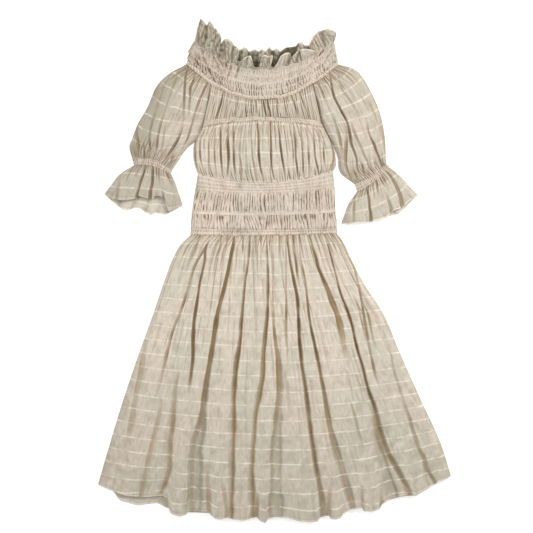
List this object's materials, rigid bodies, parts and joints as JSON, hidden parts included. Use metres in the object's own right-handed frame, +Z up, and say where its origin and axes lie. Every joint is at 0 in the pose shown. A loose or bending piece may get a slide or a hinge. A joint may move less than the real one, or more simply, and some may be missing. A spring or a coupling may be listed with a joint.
{
  "type": "elbow-sleeve smocked dress",
  "caption": "Off-shoulder midi dress of gathered cotton voile, laid flat, with a ruffled smocked neck, a shirred waist, a full skirt and puffed sleeves with flounced cuffs.",
  "frame": {"origin": "middle of the dress's outline, on the surface that it lies on", "axes": "+X to the right seen from above with the neck away from the viewer, +Y from the hem up to the neck, +Z up from the surface"},
  "size_m": [0.8117, 1.1539, 0.0199],
  "materials": {
    "voile": "undyed cotton voile with raised slub lines, matt",
    "shirring": "the same voile shirred on elastic thread, matt",
    "casing": "rolled self-fabric elastic casing, matt",
    "underlayer": "the back layer of the same voile, matt"
  },
  "bodies": {
    "root": {"ruffle_front": "voile", "ruffle_back": "underlayer", "neckband_front": "shirring", "neckband_back": "underlayer", "neck_casing": "casing", "yoke_front": "voile", "bust_casing": "casing", "bodice_front": "voile", "bodice_back": "underlayer", "waist_front": "shirring", "waist_back": "underlayer", "skirt_front": "voile", "skirt_back": "underlayer", "sleeve_left_upper": "voile", "sleeve_left_under": "underlayer", "elbow_casing_left": "casing", "cuff_left_upper": "voile", "cuff_left_under": "underlayer", "sleeve_right_upper": "voile", "sleeve_right_under": "underlayer", "elbow_casing_right": "casing", "cuff_right_upper": "voile", "cuff_right_under": "underlayer"}
  },
  "joints": []
}
